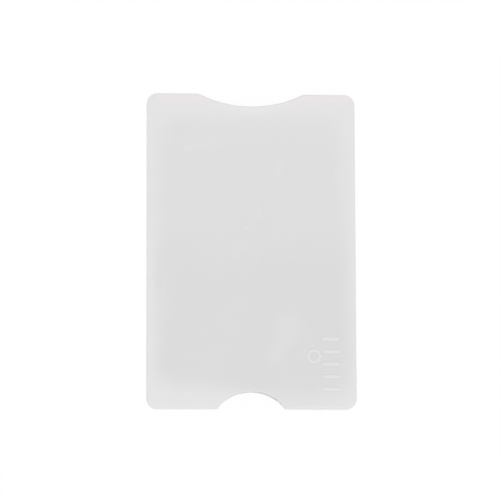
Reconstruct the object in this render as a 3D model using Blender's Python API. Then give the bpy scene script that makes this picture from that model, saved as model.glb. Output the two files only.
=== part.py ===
"""Rigid sleeve for one bank card: two moulded half shells, each lined with a glued shielding foil.

The sleeve lies on its rear face. X runs across it, Y along it with the open mouth at +Y, and Z
through its thickness, with the origin under the middle of the rear face. Lengths are in metres.
Each sub-part is drawn about the middle plane between the two halves, at a height h that counts
towards the front (side = 1) or towards the rear (side = -1).
"""

import math

import bmesh
import bpy
from mathutils import Vector

# The card that the sleeve holds, and the play around it
CARD_WIDTH = 0.05398
CARD_LENGTH = 0.0856
CARD_THICKNESS = 0.00076
SIDE_PLAY = 0.00041
FACE_PLAY = 0.00054
MOUTH_SETBACK = 0.0029

# Half shells
FACE_WALL = 0.0010
SIDE_RIM = 0.0026
FOOT_RIM = 0.0025
CORNER_RADIUS = 0.0030
SLOT_CORNER_RADIUS = 0.0020
EDGE_ROUND = 0.0006

# Notch at the mouth for the thumb that draws the card, and notch at the foot to push it out
THUMB_NOTCH_WIDTH = 0.0300
THUMB_NOTCH_DEPTH = 0.0036
THUMB_NOTCH_BLEND = 0.0022
PUSH_NOTCH_WIDTH = 0.0197
PUSH_NOTCH_DEPTH = 0.0048
PUSH_NOTCH_BLEND = 0.0008

# Low nubs on the side rims that keep the card from falling out
NUB_LENGTH = 0.0060
NUB_FROM_MOUTH = 0.0080
NUB_PLAY = 0.00005

# Weld seam: a tongue on the rear rim stands in a groove of the front rim
SEAM_GAP = 0.0003
TONGUE_WIDTH = 0.0007
TONGUE_REACH = 0.0006
TONGUE_CLEARANCE = 0.0001
TONGUE_END_MARGIN = 0.0003
TONGUE_LEAST_BEND = 0.0002

# Shielding foil and the adhesive film behind it
SHIELD_THICKNESS = 0.00015
ADHESIVE_THICKNESS = 0.0001
BOND_GAP = 0.00005
SHIELD_MOUTH_MARGIN = 0.0028
SHIELD_FOOT_MARGIN = 0.0006
SHIELD_THUMB_NOTCH_MARGIN = 0.0028
SHIELD_PUSH_NOTCH_MARGIN = 0.0009
SHIELD_CORNER_RADIUS = 0.0030
ADHESIVE_BORDER = 0.0010

# Raised grip mark at the lower right of the front: a ladder of bars with a ring beside it
BAR_COUNT = 5
BAR_LENGTH = 0.0051
BAR_WIDTH = 0.0010
BAR_PITCH = 0.0036
BARS_FROM_SIDE = 0.00735
BARS_FROM_FOOT = 0.01285
RING_DIAMETER = 0.0041
RING_STROKE = 0.0008
RING_BESIDE_BARS = 0.0049
RING_ABOVE_BARS = 0.0022
MARK_HEIGHT = 0.0002
MARK_DRAFT = 0.00008

# How far a fused feature is sunk into its carrier, and how far a cutter runs out of the part
SINK = 0.0002
OVERRUN = 0.0010

# Facets of the round stretches
NOTCH_STEPS = 14
BLEND_STEPS = 5
CORNER_STEPS = 8
ROUND_STEPS = 4
NUB_STEPS = 8
CAP_STEPS = 6
RING_STEPS = 32

# Sizes that follow from the card and the walls
SLOT_HALF_WIDTH = CARD_WIDTH / 2 + SIDE_PLAY
HALF_WIDTH = SLOT_HALF_WIDTH + SIDE_RIM
HALF_LENGTH = (CARD_LENGTH + MOUTH_SETBACK + FOOT_RIM) / 2
SLOT_FOOT = FOOT_RIM - HALF_LENGTH
SHIELD_INNER = (CARD_THICKNESS + FACE_PLAY) / 2
SHIELD_OUTER = SHIELD_INNER + SHIELD_THICKNESS
ADHESIVE_INNER = SHIELD_OUTER + BOND_GAP
ADHESIVE_OUTER = ADHESIVE_INNER + ADHESIVE_THICKNESS
WALL_INNER = ADHESIVE_OUTER + BOND_GAP
FACE = WALL_INNER + FACE_WALL
SEAM = SEAM_GAP / 2

# The rounded edge stays narrower than the tightest turn of the outline that it follows
ROUND_LIMIT_SHARE = 0.9
TIGHTEST_TURN = min(CORNER_RADIUS, THUMB_NOTCH_BLEND, PUSH_NOTCH_BLEND, FACE - SEAM)
ROUND = min(EDGE_ROUND, ROUND_LIMIT_SHARE * TIGHTEST_TURN)

RIGHT_ANGLE = math.pi / 2
SMOOTH_ANGLE = math.radians(35)


def arc(centre, radius, start, end, steps, hollow=False):
    """Points of an arc, each with its outward normal; a hollow arc runs round open space."""
    points = []
    for step in range(steps + 1):
        angle = start + (end - start) * step / steps
        direction = Vector((math.cos(angle), math.sin(angle)))
        points.append((centre + direction * radius, -direction if hollow else direction))
    return points


def angle_to(start, end):
    """Angle of the line from one point to another."""
    return math.atan2(end.y - start.y, end.x - start.x)


def mirrored(points, x_sign, y_sign):
    """The same outline points reflected, in the reverse order so that they still run one way."""
    signs = Vector((x_sign, y_sign))
    return [(point * signs, normal * signs) for point, normal in reversed(points)]


def notch_centres(width, depth, blend):
    """Centres of a notch's arc and of the round at its mouth, and the radius of the arc."""
    radius = ((width / 2) ** 2 + depth ** 2) / (2 * depth)
    notch = Vector((0, HALF_LENGTH - depth + radius))
    drop = notch.y - (HALF_LENGTH - blend)
    mouth = Vector((math.sqrt((radius + blend) ** 2 - drop ** 2), HALF_LENGTH - blend))
    return notch, mouth, radius


def end_outline(width, depth, blend):
    """Right half of an end of the sleeve, from its side edge to the middle of its notch."""
    notch, mouth, radius = notch_centres(width, depth, blend)
    corner = Vector((HALF_WIDTH - CORNER_RADIUS, HALF_LENGTH - CORNER_RADIUS))
    points = arc(corner, CORNER_RADIUS, 0, RIGHT_ANGLE, CORNER_STEPS)
    points += arc(mouth, blend, RIGHT_ANGLE, angle_to(mouth, notch), BLEND_STEPS)
    points += arc(notch, radius, angle_to(notch, mouth), -RIGHT_ANGLE, NOTCH_STEPS, hollow=True)[1:]
    return points


def sleeve_outline():
    """The whole plan of the sleeve, counter-clockwise from the middle of the push notch."""
    mouth = end_outline(THUMB_NOTCH_WIDTH, THUMB_NOTCH_DEPTH, THUMB_NOTCH_BLEND)
    foot = end_outline(PUSH_NOTCH_WIDTH, PUSH_NOTCH_DEPTH, PUSH_NOTCH_BLEND)
    right = mirrored(foot, 1, -1) + mouth
    left = mirrored(right, -1, 1)
    return right + left[1:-1]


def slot_outline():
    """Plan of the card slot, with the nubs on its sides, open past the mouth."""
    corner = Vector((SLOT_HALF_WIDTH - SLOT_CORNER_RADIUS, SLOT_FOOT + SLOT_CORNER_RADIUS))
    nub_height = SIDE_PLAY - NUB_PLAY
    nub_radius = ((NUB_LENGTH / 2) ** 2 + nub_height ** 2) / (2 * nub_height)
    nub_centre = Vector((SLOT_HALF_WIDTH - nub_height + nub_radius, HALF_LENGTH - NUB_FROM_MOUTH))
    nub_angle = math.asin(NUB_LENGTH / 2 / nub_radius)
    right = arc(corner, SLOT_CORNER_RADIUS, -RIGHT_ANGLE, 0, CORNER_STEPS)
    right += arc(nub_centre, nub_radius, math.pi + nub_angle, math.pi - nub_angle, NUB_STEPS, hollow=True)
    right.append((Vector((SLOT_HALF_WIDTH, HALF_LENGTH + OVERRUN)), Vector((1, 0))))
    return right + mirrored(right, -1, 1)


def rounded_outline(corners, radius):
    """A convex polygon, counter-clockwise, with every corner rounded."""
    points = []
    for index, corner in enumerate(corners):
        before = (corner - corners[index - 1]).normalized()
        after = (corners[(index + 1) % len(corners)] - corner).normalized()
        normal_in = Vector((before.y, -before.x))
        normal_out = Vector((after.y, -after.x))
        centre = corner - (normal_in + normal_out) * radius / (1 + normal_in.dot(normal_out))
        start = math.atan2(normal_in.y, normal_in.x)
        turn = before.angle(after)
        points += arc(centre, radius, start, start + turn, CORNER_STEPS)
    return points


def shield_outline():
    """Plan of the foil, a little narrower towards the mouth, clear of both notches."""
    mouth_half = SLOT_HALF_WIDTH - SHIELD_MOUTH_MARGIN
    foot_half = SLOT_HALF_WIDTH - SHIELD_FOOT_MARGIN
    top = HALF_LENGTH - THUMB_NOTCH_DEPTH - SHIELD_THUMB_NOTCH_MARGIN
    bottom = max(PUSH_NOTCH_DEPTH + SHIELD_PUSH_NOTCH_MARGIN - HALF_LENGTH, SLOT_FOOT + SHIELD_FOOT_MARGIN)
    corners = [Vector((foot_half, bottom)), Vector((mouth_half, top)),
               Vector((-mouth_half, top)), Vector((-foot_half, bottom))]
    return rounded_outline(corners, SHIELD_CORNER_RADIUS)


def bar_outline(centre):
    """Plan of one bar of the grip mark, straight with half-round ends."""
    radius = BAR_WIDTH / 2
    reach = Vector((BAR_LENGTH / 2 - radius, 0))
    return (arc(centre + reach, radius, -RIGHT_ANGLE, RIGHT_ANGLE, CAP_STEPS)
            + arc(centre - reach, radius, RIGHT_ANGLE, 3 * RIGHT_ANGLE, CAP_STEPS))


def rim_line(inset, growth):
    """Line round the right rim at an inset from its edge, from the mouth to just short of the notch."""
    margin = TONGUE_END_MARGIN - growth
    side_drop = max(CORNER_RADIUS - inset, 0)
    mouth_end = HALF_LENGTH - CORNER_RADIUS + math.sqrt(CORNER_RADIUS ** 2 - side_drop ** 2)
    notch, _, radius = notch_centres(PUSH_NOTCH_WIDTH, PUSH_NOTCH_DEPTH, PUSH_NOTCH_BLEND)
    notch_wall = math.sqrt(max(radius ** 2 - (notch.y - HALF_LENGTH + inset) ** 2, 0))
    bend = max(CORNER_RADIUS - inset, TONGUE_LEAST_BEND)
    centre = Vector((HALF_WIDTH - inset - bend, inset + bend - HALF_LENGTH))
    line = [Vector((HALF_WIDTH - inset, mouth_end - margin))]
    line += [point for point, _ in arc(centre, bend, 0, -RIGHT_ANGLE, CORNER_STEPS)]
    line.append(Vector((notch_wall + margin, inset - HALF_LENGTH)))
    return line


def seam_strip(growth):
    """Plan of the tongue in the right rim, grown all round by a clearance for the groove."""
    middle = min(SIDE_RIM, FOOT_RIM) / 2
    half = TONGUE_WIDTH / 2 + growth
    return rim_line(middle - half, growth) + rim_line(middle + half, growth)[::-1]


def ring_at(outline, inset, height):
    """An outline drawn in along its normals, at a height."""
    return [(point - normal * inset).to_3d() + Vector((0, 0, height)) for point, normal in outline]


def add_loft(mesh, rings):
    """Add a closed solid through rings of equally many points, capped at both ends."""
    loops = [[mesh.verts.new(point) for point in ring] for ring in rings]
    for lower, upper in zip(loops, loops[1:]):
        for index in range(len(lower)):
            mesh.faces.new((lower[index - 1], lower[index], upper[index], upper[index - 1]))
    mesh.faces.new(loops[0][::-1])
    mesh.faces.new(loops[-1])


def add_strip(mesh, plan, low, high):
    """Add an upright prism over a plan, and its mirror image over the left rim."""
    for x_sign in (1, -1):
        add_loft(mesh, [[Vector((point.x * x_sign, point.y, height)) for point in plan]
                        for height in (low, high)])


def add_ring(mesh, centre):
    """Add the mark's flat ring, its edges drawn in by the draft towards its top."""
    outer = RING_DIAMETER / 2
    inner = outer - RING_STROKE
    profile = [(outer, FACE - SINK), (outer, FACE + MARK_HEIGHT - MARK_DRAFT),
               (outer - MARK_DRAFT, FACE + MARK_HEIGHT), (inner + MARK_DRAFT, FACE + MARK_HEIGHT),
               (inner, FACE + MARK_HEIGHT - MARK_DRAFT), (inner, FACE - SINK)]
    loops = []
    for step in range(RING_STEPS):
        angle = 2 * math.pi * step / RING_STEPS
        direction = Vector((math.cos(angle), math.sin(angle)))
        loops.append([mesh.verts.new((centre + direction * radius).to_3d() + Vector((0, 0, height)))
                      for radius, height in profile])
    for before, after in zip(loops, loops[1:] + loops[:1]):
        for index in range(len(profile)):
            mesh.faces.new((before[index - 1], after[index - 1], after[index], before[index]))


def add_object(name, mesh, side, holder, material=None):
    """Make an object of a mesh drawn about the middle plane, turned to the front or to the rear."""
    for vertex in mesh.verts:
        vertex.co.z *= side
    bmesh.ops.recalc_face_normals(mesh, faces=mesh.faces)
    data = bpy.data.meshes.new(name)
    mesh.to_mesh(data)
    mesh.free()
    data.shade_smooth()
    data.set_sharp_from_angle(angle=SMOOTH_ANGLE)
    item = bpy.data.objects.new(name, data)
    bpy.context.scene.collection.objects.link(item)
    item.parent = holder
    item.location = (0, 0, FACE)
    if material:
        data.materials.append(material)
    else:
        item.display_type = "WIRE"
        item.hide_render = True
    return item


def apply_tool(item, tool, operation):
    """Cut a tool out of an item, or fuse it on."""
    modifier = item.modifiers.new(tool.name, "BOOLEAN")
    modifier.operation = operation
    modifier.solver = "EXACT"
    modifier.object = tool


def make_material(name, colour, roughness, metallic):
    """A plain Principled material."""
    material = bpy.data.materials.new(name)
    material.use_nodes = True
    shader = material.node_tree.nodes["Principled BSDF"]
    shader.inputs["Base Color"].default_value = (*colour, 1)
    shader.inputs["Roughness"].default_value = roughness
    shader.inputs["Metallic"].default_value = metallic
    return material


def make_half_shell(name, side, holder):
    """One moulded half: an outside with rounded edges, open on the seam side for the card slot."""
    outline = sleeve_outline()
    rings = [ring_at(outline, 0, SEAM)]
    for step in range(ROUND_STEPS + 1):
        angle = RIGHT_ANGLE * step / ROUND_STEPS
        inset = ROUND * (1 - math.cos(angle))
        rings.append(ring_at(outline, inset, FACE - ROUND * (1 - math.sin(angle))))
    body = bmesh.new()
    add_loft(body, rings)
    plastic = make_material(name + "_plastic", (0.79, 0.785, 0.785), 0.4, 0)
    shell = add_object(name, body, side, holder, plastic)

    slot = bmesh.new()
    plan = slot_outline()
    add_loft(slot, [ring_at(plan, 0, -OVERRUN), ring_at(plan, 0, WALL_INNER)])
    apply_tool(shell, add_object(name + "_slot", slot, side, holder), "DIFFERENCE")
    return shell


def make_front_shell(holder):
    """The half that faces the user, with the groove of the seam and the raised grip mark."""
    shell = make_half_shell("front_shell", 1, holder)
    groove = bmesh.new()
    add_strip(groove, seam_strip(TONGUE_CLEARANCE), -OVERRUN, SEAM + TONGUE_REACH + TONGUE_CLEARANCE)
    apply_tool(shell, add_object("seam_groove", groove, 1, holder), "DIFFERENCE")

    mark = bmesh.new()
    middle = Vector((HALF_WIDTH - BARS_FROM_SIDE, BARS_FROM_FOOT - HALF_LENGTH))
    for index in range(BAR_COUNT):
        rise = Vector((0, BAR_PITCH * (index - (BAR_COUNT - 1) / 2)))
        plan = bar_outline(middle + rise)
        add_loft(mark, [ring_at(plan, 0, FACE - SINK), ring_at(plan, 0, FACE + MARK_HEIGHT - MARK_DRAFT),
                        ring_at(plan, MARK_DRAFT, FACE + MARK_HEIGHT)])
    add_ring(mark, middle + Vector((-RING_BESIDE_BARS, RING_ABOVE_BARS)))
    apply_tool(shell, add_object("grip_mark", mark, 1, holder), "UNION")


def make_rear_shell(holder):
    """The half that lies on the table, with the tongue of the seam."""
    shell = make_half_shell("rear_shell", -1, holder)
    tongue = bmesh.new()
    add_strip(tongue, seam_strip(0), -SEAM - TONGUE_REACH, SEAM + SINK)
    apply_tool(shell, add_object("seam_tongue", tongue, -1, holder), "UNION")


def make_liner(prefix, side, holder):
    """The shielding foil of one half, and the adhesive film between it and the shell."""
    plan = shield_outline()
    shield = bmesh.new()
    add_loft(shield, [ring_at(plan, 0, SHIELD_INNER), ring_at(plan, 0, SHIELD_OUTER)])
    foil = make_material(prefix + "_foil", (0.74, 0.75, 0.76), 0.28, 1)
    add_object(prefix + "_shield", shield, side, holder, foil)

    film = bmesh.new()
    add_loft(film, [ring_at(plan, ADHESIVE_BORDER, height) for height in (ADHESIVE_INNER, ADHESIVE_OUTER)])
    glue = make_material(prefix + "_glue", (0.82, 0.80, 0.74), 0.5, 0)
    add_object(prefix + "_adhesive_film", film, side, holder, glue)


def main():
    for item in list(bpy.data.objects):
        bpy.data.objects.remove(item)
    holder = bpy.data.objects.new("card_holder", None)
    bpy.context.scene.collection.objects.link(holder)
    make_rear_shell(holder)
    make_front_shell(holder)
    make_liner("rear", -1, holder)
    make_liner("front", 1, holder)


main()
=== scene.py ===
"""Looks of a rigid, milky white sleeve for one bank card, laid out as an add-on and run as a script.

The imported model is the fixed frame: lengths are in metres, and the sleeve lies on its rear face with
its open mouth at +Y. Heights count from the middle plane between its two moulded halves, towards the
front where side is 1 and towards the rear where side is -1. Patterns on the surfaces are laid out in
millimetres.
"""

import math

import bmesh
import bpy
from bpy.props import FloatProperty, FloatVectorProperty, IntProperty, PointerProperty
from mathutils import Matrix, Vector, noise


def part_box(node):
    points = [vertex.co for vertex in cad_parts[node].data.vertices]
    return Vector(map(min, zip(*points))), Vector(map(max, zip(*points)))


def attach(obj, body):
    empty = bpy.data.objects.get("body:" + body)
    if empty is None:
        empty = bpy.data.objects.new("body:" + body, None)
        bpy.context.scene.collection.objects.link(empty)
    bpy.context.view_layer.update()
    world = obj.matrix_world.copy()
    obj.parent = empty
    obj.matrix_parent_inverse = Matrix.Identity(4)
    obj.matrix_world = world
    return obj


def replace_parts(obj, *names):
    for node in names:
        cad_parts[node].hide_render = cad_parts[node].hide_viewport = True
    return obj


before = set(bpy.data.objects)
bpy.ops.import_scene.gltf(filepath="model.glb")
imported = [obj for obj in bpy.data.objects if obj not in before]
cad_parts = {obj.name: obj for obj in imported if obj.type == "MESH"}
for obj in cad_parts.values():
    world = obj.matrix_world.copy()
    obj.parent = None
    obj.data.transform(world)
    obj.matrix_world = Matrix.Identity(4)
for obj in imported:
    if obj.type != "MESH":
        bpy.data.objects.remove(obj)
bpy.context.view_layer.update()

bl_info = {
    "name": "Card sleeve looks",
    "version": (1, 0, 0),
    "blender": (4, 5, 0),
    "location": "View3D > Sidebar > Card Sleeve",
    "description": "Moulded halves, grip mark, weld seam and shielding foils of a card sleeve",
    "category": "Object",
}

RIGHT_ANGLE = math.pi / 2
MM = 0.001
TOLERANCE = 0.001 * MM

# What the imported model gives: the outside, the middle plane, the face above it and the foil's place
SLEEVE_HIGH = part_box("front_shell")[1]
FOIL_LOW, FOIL_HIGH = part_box("front_shield")
HALF_WIDTH = SLEEVE_HIGH.x
HALF_LENGTH = SLEEVE_HIGH.y
MIDDLE = (FOIL_LOW.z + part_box("rear_shield")[1].z) / 2
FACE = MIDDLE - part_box("rear_shell")[0].z
MARK_HEIGHT = SLEEVE_HIGH.z - MIDDLE - FACE

# Facets of the round stretches
NOTCH_STEPS = 28
BLEND_STEPS = 10
CORNER_STEPS = 16
EDGE_STEPS = 9
LIP_STEPS = 6
NUB_STEPS = 12
CAP_STEPS = 14
RELIEF_STEPS = 8
RING_STEPS = 72
BEAD_EDGE_STEPS = 4

# Angles past which smooth shading stops
SHARP_ANGLE = math.radians(18)
BEAD_SHARP_ANGLE = math.radians(30)
FOIL_SHARP_ANGLE = math.radians(50)

# Clearances and other sizes, as shares of the round, chamfer or height that they follow
CLEARANCE_SHARE = 0.1
BAND_REACH_SHARE = 1.5
STROKE_START_SHARE = -0.12
BEAD_EDGE_SHARE = 0.2

# Faint folds that the foil got when it was glued in: both ends in millimetres, then width and rise
FOIL_FOLDS = (
    ((9.6, 28.5), (6.4, 21.0), 0.9, 0.05),
    ((3.2, 14.0), (-0.2, 7.4), 0.8, 0.05),
    ((-1.4, 7.0), (-5.6, -3.0), 0.9, 0.045),
    ((-21.5, 31.5), (-15.5, 27.5), 0.9, 0.04),
    ((14.0, -18.0), (4.6, -32.0), 2.2, 0.05),
    ((-24.0, -12.0), (-10.0, -17.0), 0.7, 0.03),
    ((22.0, 20.0), (25.0, 3.0), 0.9, 0.03),
    ((-8.0, -36.0), (12.0, -39.0), 0.8, 0.03),
)

# The most that crossing folds rise together in millimetres, and the share of the rise that is drawn
HIGHEST_FOLD = 0.06
FOLD_SHARE = 0.8

# The foil's rows of faces are spread evenly for this share, and closer at the ends for the rest
EVEN_ROWS_SHARE = 0.65

# Noise of the foil's cut edge and of its crinkles: reach in millimetres, waves per millimetre, and the
# slice of the noise that each is read from
CUT_REACH = 0.06
CUT_WAVES = 0.4
CUT_SLICE = 3.0
CRINKLE_WAVES = 0.3
CRINKLE_SLICE = 5.0
CRINKLE_OCTAVES = 4

# Painted shade that stands in for the foil seen through the plastic, in millimetres: its edges, their blurs,
# how far it reaches into the lower corners, and its strength as shares of the full shade, deeper towards the
# foot
FOIL_SHADE = {
    "Left at Mouth": -26.6, "Left at Foot": -27.1, "Right at Mouth": 25.9, "Right at Foot": 29.0,
    "Mouth End": 38.8, "Foot End Left": -38.6, "Foot End Right": -42.6,
    "Side Blur at Mouth": 9.0, "Left Blur at Foot": 7.8, "Right Blur at Foot": 7.0,
    "Mouth End Blur": 6.6, "Foot End Blur Left": 8.2, "Foot End Blur Right": 12.0,
    "Corner": 68.0, "Corner Blur": 24.0, "Share at Mouth": 0.44, "Share at Middle": 0.675,
}

# Stretches of that shade, in millimetres: along the sleeve from foot to mouth, across it at the foot,
# and where its strength changes below the mouth and towards the foot
SHADE_ALONG = (-38.0, 36.0)
FOOT_END_ACROSS = (-13.0, 3.0)
FOOT_BLUR_ACROSS = (-14.0, 14.0)
BELOW_MOUTH = (38.0, 24.0)
TOWARDS_FOOT = (14.0, -12.0)

# Spots where the painted foil shade is paler: place and reach in millimetres, turn, share of shade lost
PALE_SPOTS = (
    ((8.4, 25.4), (1.2, 2.4), -0.55, 0.32),
    ((7.4, 22.5), (2.0, 2.3), 0.0, 0.34),
    ((2.0, 11.4), (1.5, 3.4), -0.30, 0.34),
    ((-1.2, 6.4), (1.2, 1.3), 0.0, 0.46),
    ((-2.3, 1.6), (2.1, 2.6), 0.2, 0.16),
    ((-4.7, -0.9), (2.6, 2.4), 0.0, 0.16),
    ((-18.4, 29.6), (1.8, 1.6), 0.3, 0.55),
    ((10.4, -22.2), (6.6, 6.2), -0.5, 0.34),
    ((9.2, -26.6), (4.8, 4.4), 0.0, 0.20),
    ((6.6, -29.6), (5.2, 4.6), -0.6, 0.25),
    ((-26.2, 38.0), (4.2, 4.8), 0.0, 0.85),
    ((-13.0, 31.2), (9.0, 4.2), 0.0, 0.20),
    ((25.7, 22.0), (2.6, 5.5), 0.0, 0.32),
    ((27.8, 37.5), (2.6, 5.5), 0.0, 0.90),
)

# Spots where the painted foil shade is deeper: place and reach in millimetres, shade added
DEEP_SPOTS = (
    ((-20.8, 34.8), (3.0, 3.4), 0.10),
    ((-26.8, -9.0), (1.9, 13.5), 0.28),
    ((27.2, -5.0), (1.5, 7.0), 0.18),
)

# The most shade that the plastic's broad clouds add or take away
CLOUD_SHADE = 0.035

# Fades of the mouth's tint and of the painted shade on the right flank of the push notch: the axis, where
# each starts and ends in millimetres, and its first and last share where they aren't 0 and 1
MOUTH_TINT = (("Y", 41.0, 44.0), ("X", -28.5, -25.5))
NOTCH_PAINTED_SHADE = (("X", -0.5, 2.5), ("X", 10.6, 8.2), ("X", 6.0, 8.0, 0.85, 0.45), ("Y", -40.0, -40.6))

# Where the plastic is drawn lighter along the edge of the thumb notch, in millimetres
LIGHTER_BY_NOTCH_PLACE = (0.5, 41.8, 0.0)
LIGHTER_BY_NOTCH_REACH = (14.0, 4.0, 1.0)

# How far each kind of wear and painted highlight changes the plastic's colour, roughness and height
LIGHTER_BY_NOTCH_SHARE = 0.40
STROKE_TOP_HIGHLIGHT_SHARE = 0.40
RUBBED_EDGE_HIGHLIGHT_SHARE = 0.60
HAIRLINE_SHARE = 0.06
HAIRLINE_ROUGHNESS = 0.14
RUBBED_EDGE_SMOOTHNESS = 0.13
HAIRLINE_DEPTH_SHARE = 0.35

GROUND_GAP = 0.02 * MM
WHITE = (1.0, 1.0, 1.0, 1.0)


# Settings


def length(name, description, default):
    """A length in metres that a user can change."""
    return FloatProperty(name=name, description=description, default=default,
                         subtype="DISTANCE", unit="LENGTH")


def colour(name, description, default):
    """A colour that a user can change."""
    return FloatVectorProperty(name=name, description=description, default=default,
                               subtype="COLOR", size=3, min=0, max=1)


class SleeveSettings(bpy.types.PropertyGroup):
    """Sizes of the two moulded halves."""

    corner_radius: length("Corner Radius", "Radius of the four corners in plan", 0.0030)
    edge_round: length("Edge Round", "Radius of the rounded outer edges", 0.0006)
    thumb_notch_width: length("Thumb Notch Width", "Width of the notch at the mouth", 0.0300)
    thumb_notch_depth: length("Thumb Notch Depth", "Depth of the notch at the mouth", 0.0036)
    thumb_notch_blend: length("Thumb Notch Blend", "Round beside the thumb notch", 0.0022)
    push_notch_width: length("Push Notch Width", "Width of the notch at the foot", 0.0197)
    push_notch_depth: length("Push Notch Depth", "Depth of the notch at the foot", 0.0049)
    push_notch_blend: length("Push Notch Blend", "Round beside the push notch", 0.0008)
    push_notch_shift: length("Push Notch Shift", "How far the foot's notch is off centre", -0.0001)
    side_rim: length("Side Rim", "Width of the solid rim beside the card slot", 0.0026)
    foot_rim: length("Foot Rim", "Width of the solid rim below the card slot", 0.0025)
    face_wall: length("Face Wall", "Thickness of the moulded faces", 0.0010)
    slot_corner: length("Slot Corner", "Radius of the card slot's inner corners", 0.0020)
    nub_length: length("Nub Length", "Length of the nubs that hold the card", 0.0060)
    nub_height: length("Nub Height", "How far the nubs stand into the slot", 0.00036)
    nub_from_mouth: length("Nub From Mouth", "Distance of the nubs from the mouth", 0.0080)
    lead_in: length("Lead-in", "Chamfer on the lips of the card slot", 0.00022)
    seam_gap: length("Seam Gap", "Fine gap between the halves at the seam", 0.00006)
    seam_lip: length("Seam Lip", "Round on both edges of the seam", 0.00009)
    weld_width: length("Weld Width", "Width of the welded tongue in the seam", 0.0009)
    weld_height: length("Weld Height", "Height of the welded tongue in the seam", 0.00034)
    weld_depth: length("Weld Depth", "How far the weld lies inside the edge", 0.00013)


class GripMarkSettings(bpy.types.PropertyGroup):
    """Sizes of the raised ladder of bars and the ring beside it."""

    bar_count: IntProperty(name="Bars", description="Number of bars", default=5, min=1)
    bar_length: length("Bar Length", "Length of a bar", 0.0051)
    bar_width: length("Bar Width", "Width of a bar", 0.0010)
    bar_pitch: length("Bar Pitch", "Distance from bar to bar", 0.0036)
    from_side: length("From Side", "Middle of the bars from the right edge", 0.00735)
    from_foot: length("From Foot", "Middle of the bars from the foot", 0.01285)
    ring_diameter: length("Ring Diameter", "Outer diameter of the ring", 0.0041)
    ring_stroke: length("Ring Stroke", "Width of the ring's stroke", 0.0008)
    ring_beside: length("Ring Beside Bars", "Ring's middle left of the bars'", 0.0049)
    ring_above: length("Ring Above Middle", "Ring's middle above the bars'", 0.0022)
    flare: length("Foot Flare", "Soft foot round a raised stroke", 0.00018)
    shoulder: length("Shoulder", "Soft shoulder of a raised stroke", 0.00016)
    sunk: length("Sunk", "How deep a stroke's body reaches into the face", 0.0002)


class LinerSettings(bpy.types.PropertyGroup):
    """Sizes of the shielding foils."""

    mouth_half: length("Half Width at Mouth", "Half the foil's width at the mouth", 0.0246)
    corner: length("Foil Corner", "Radius of the foil's corners", 0.0030)
    thickness: length("Foil Thickness", "Thickness of the foil laminate", 0.00007)
    crinkle: length("Crinkle", "Height of the small crinkles", 0.000018)
    columns: IntProperty(name="Columns", description="Faces across the foil", default=88, min=4)
    rows: IntProperty(name="Rows", description="Faces along the foil", default=128, min=4)


class FinishSettings(bpy.types.PropertyGroup):
    """Colours of the surfaces."""

    plastic: colour("Plastic", "Milky plastic in the clear border", (0.753, 0.752, 0.753))
    # Plastic Over Foil is painted shade: a darker colour that stands in for the foil seen through the milky
    # plastic
    plastic_over_foil: colour("Plastic Over Foil", "Milky plastic where the foil lies close behind it",
                              (0.687, 0.686, 0.687))
    # Plastic Wall is painted light: a lighter colour on upright walls that stands in for light coming through
    # them
    plastic_wall: colour("Plastic Wall", "Upright walls, which light comes through", (0.94, 0.94, 0.94))
    # Plastic Rubbed serves both as wear and as a painted highlight on rounded edges and stroke tops
    plastic_rubbed: colour("Plastic Rubbed", "Rounded edges rubbed smooth", (0.80, 0.80, 0.80))
    plastic_at_mouth: colour("Plastic at Mouth", "Plastic along the open mouth", (0.785, 0.752, 0.762))
    # Grime is painted shade: the dark colour at the foot of raised strokes and on the right flank of the push
    # notch
    grime: colour("Grime", "Fine grime at the foot of raised strokes", (0.60, 0.60, 0.60))
    hairline: colour("Hairlines", "Fine scratches from pockets and wallets", (0.86, 0.86, 0.86))
    foil_bright: colour("Foil Bright", "Clean side of the aluminium", (0.80, 0.81, 0.82))
    foil_dull: colour("Foil Dull", "Dull patches of the aluminium", (0.66, 0.67, 0.69))
    glue_pale: colour("Glue Pale", "Thin places of the adhesive film", (0.84, 0.82, 0.75))
    glue_deep: colour("Glue Deep", "Thick places of the adhesive film", (0.74, 0.70, 0.60))
    blister: colour("Blisters", "Small blisters of air in the adhesive film", (0.90, 0.89, 0.86))
    ground: colour("Ground", "Table under the sleeve", (0.90, 0.90, 0.90))


class StageSettings(bpy.types.PropertyGroup):
    """Camera, lamp and surroundings."""

    lens: FloatProperty(name="Lens", description="Focal length in millimetres", default=216.0, min=1)
    camera_place: FloatVectorProperty(name="Camera Place", description="Where the camera stands",
                                      default=(-0.06386, -0.11567, 0.8530), subtype="TRANSLATION", size=3)
    camera_turn: FloatVectorProperty(name="Camera Turn", description="Turn of the camera about X, Y and Z",
                                     default=(0.13547, -0.07385, 0.00688), subtype="EULER", size=3)
    surroundings: FloatProperty(name="Surroundings", description="Brightness of the room round the sleeve",
                                default=0.76, min=0)
    lamp: FloatProperty(name="Lamp", description="Strength of the soft lamp", default=0.815, min=0)
    lamp_spread: FloatProperty(name="Lamp Spread", description="Angle that the soft lamp fills",
                               default=0.9, subtype="ANGLE", unit="ROTATION")
    lamp_from: FloatVectorProperty(name="Lamp From", description="Direction that the lamp shines from",
                                   default=(0.06, -0.20, 1.0), subtype="DIRECTION", size=3)
    shadow_share: FloatProperty(name="Shadow Share", description="How much of the shadow shows on the ground",
                                default=0.06, min=0, max=1)
    ground_size: length("Ground Size", "Side of the square ground", 6.0)


# Outlines


def arc(centre, radius, start, end, steps, hollow=False):
    """Points of an arc, each with its outward normal; a hollow arc runs round open space."""
    points = []
    for step in range(steps + 1):
        angle = start + (end - start) * step / steps
        direction = Vector((math.cos(angle), math.sin(angle)))
        points.append((centre + direction * radius, -direction if hollow else direction))
    return points


def angle_to(start, end):
    """Angle of the line from one point to another."""
    return math.atan2(end.y - start.y, end.x - start.x)


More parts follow.
